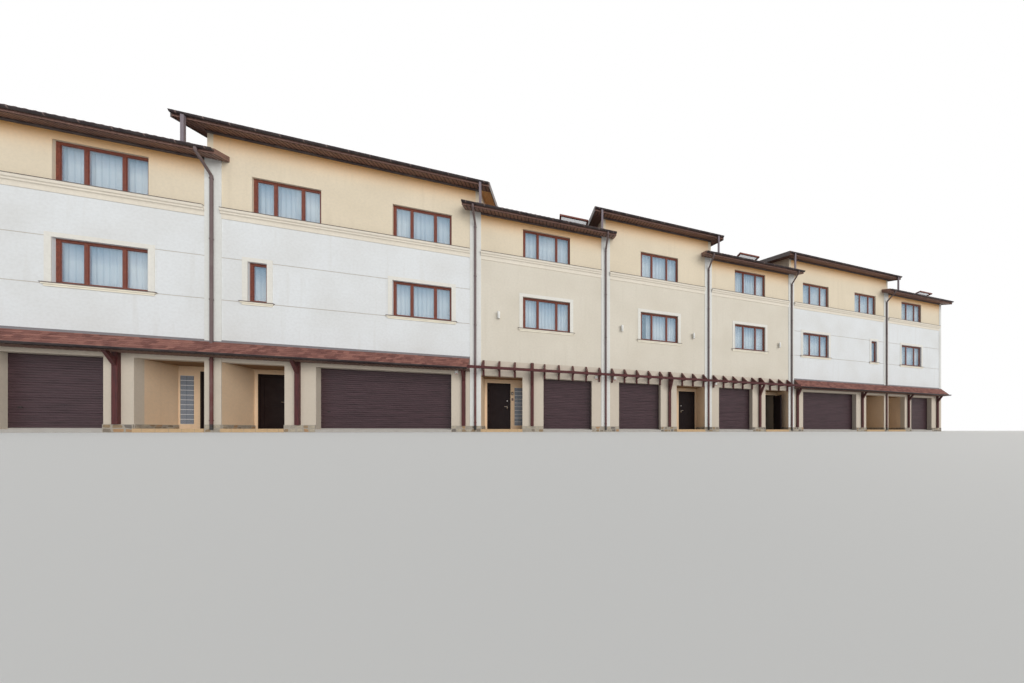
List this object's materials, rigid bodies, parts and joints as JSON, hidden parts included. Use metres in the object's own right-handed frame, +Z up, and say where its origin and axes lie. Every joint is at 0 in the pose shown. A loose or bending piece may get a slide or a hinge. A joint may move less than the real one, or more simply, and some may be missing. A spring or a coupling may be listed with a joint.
{
  "type": "scale model of a terrace of houses",
  "caption": "Half-size model of a row of joined three-storey houses with stepped roofs, garages, porches, lean-to canopies and a timber pergola beam.",
  "frame": {"origin": "on the ground in the middle of the row, in the plane of the front wall", "axes": "+X along the row to the right seen from the street, +Y from the front to the rear, +Z up"},
  "size_m": [21.972, 5.702, 5.918],
  "materials": {
    "concrete": "matte",
    "beige_render": "matte fine render",
    "white_render": "matte fine render",
    "cream_moulding": "matte",
    "plinth_stone": "rough random stone",
    "step_tile": "satin",
    "roof_tile": "satin",
    "shingle": "rough",
    "dark_metal": "satin",
    "pale_metal": "satin",
    "timber": "stained satin",
    "frame_brown": "satin",
    "garage_brown": "satin ribbed",
    "door_steel": "satin",
    "window_glass": "clear",
    "glass_block": "ribbed",
    "white_plastic": "satin"
  },
  "bodies": {
    "building": {"alarm_boxes": "white_plastic", "barge_boards": "dark_metal", "canopies": "shingle", "canopy_gutters": "dark_metal", "cornice_flashings": "dark_metal", "cornices": "cream_moulding", "downpipes": "dark_metal", "end_walls": "beige_render", "entrance_frames": "door_steel", "far_entrance_doors": "door_steel", "first_floor": "concrete", "front_piers": "beige_render", "front_walls_high": "beige_render", "front_walls_low": "beige_render", "garage_doors": "garage_brown", "garage_rails": "pale_metal", "garage_thresholds": "pale_metal", "glass_blocks": "glass_block", "ground_slab": "concrete", "gutter_spouts": "dark_metal", "party_walls": "beige_render", "pergola_beam": "timber", "pergola_brackets": "timber", "pilasters": "white_render", "plinth": "plinth_stone", "porch_back_walls": "beige_render", "porch_ceilings": "beige_render", "porch_heads": "beige_render", "porch_side_walls": "beige_render", "porch_steps": "step_tile", "posts": "timber", "rear_walls_high": "beige_render", "rear_walls_low": "beige_render", "ridge_caps": "roof_tile", "roof_gutters": "dark_metal", "roof_window_kerbs": "frame_brown", "roof_window_panes": "window_glass", "roof_window_sashes": "frame_brown", "roofs_front": "roof_tile", "roofs_rear": "roof_tile", "second_floor": "concrete", "wall_lamps": "white_plastic", "window_bands": "cream_moulding", "window_frames": "frame_brown", "window_glass": "window_glass", "window_sills": "frame_brown"},
    "door_a": {"entrance_door_a": "door_steel"},
    "door_b": {"entrance_door_b": "door_steel"},
    "door_c": {"entrance_door_c": "door_steel"},
    "door_d": {"entrance_door_d": "door_steel"},
    "door_e": {"entrance_door_e": "door_steel"}
  },
  "joints": [
    {"name": "entrance_door_a_hinge", "type": "hinge", "parent": "building", "child": "door_a", "pos_m": [-8.2245, 0.6877, 0.062], "axis": [0, 0, 1], "range_deg": [0, 95]},
    {"name": "entrance_door_b_hinge", "type": "hinge", "parent": "building", "child": "door_b", "pos_m": [-7.8655, 0.6877, 0.062], "axis": [0, 0, -1], "range_deg": [0, 95]},
    {"name": "entrance_door_c_hinge", "type": "hinge", "parent": "building", "child": "door_c", "pos_m": [-3.9305, 0.5127, 0.062], "axis": [0, 0, -1], "range_deg": [0, 95]},
    {"name": "entrance_door_d_hinge", "type": "hinge", "parent": "building", "child": "door_d", "pos_m": [1.1905, 0.5127, 0.062], "axis": [0, 0, 1], "range_deg": [0, 95]},
    {"name": "entrance_door_e_hinge", "type": "hinge", "parent": "building", "child": "door_e", "pos_m": [3.9305, 0.5127, 0.062], "axis": [0, 0, 1], "range_deg": [-80, 15]}
  ]
}
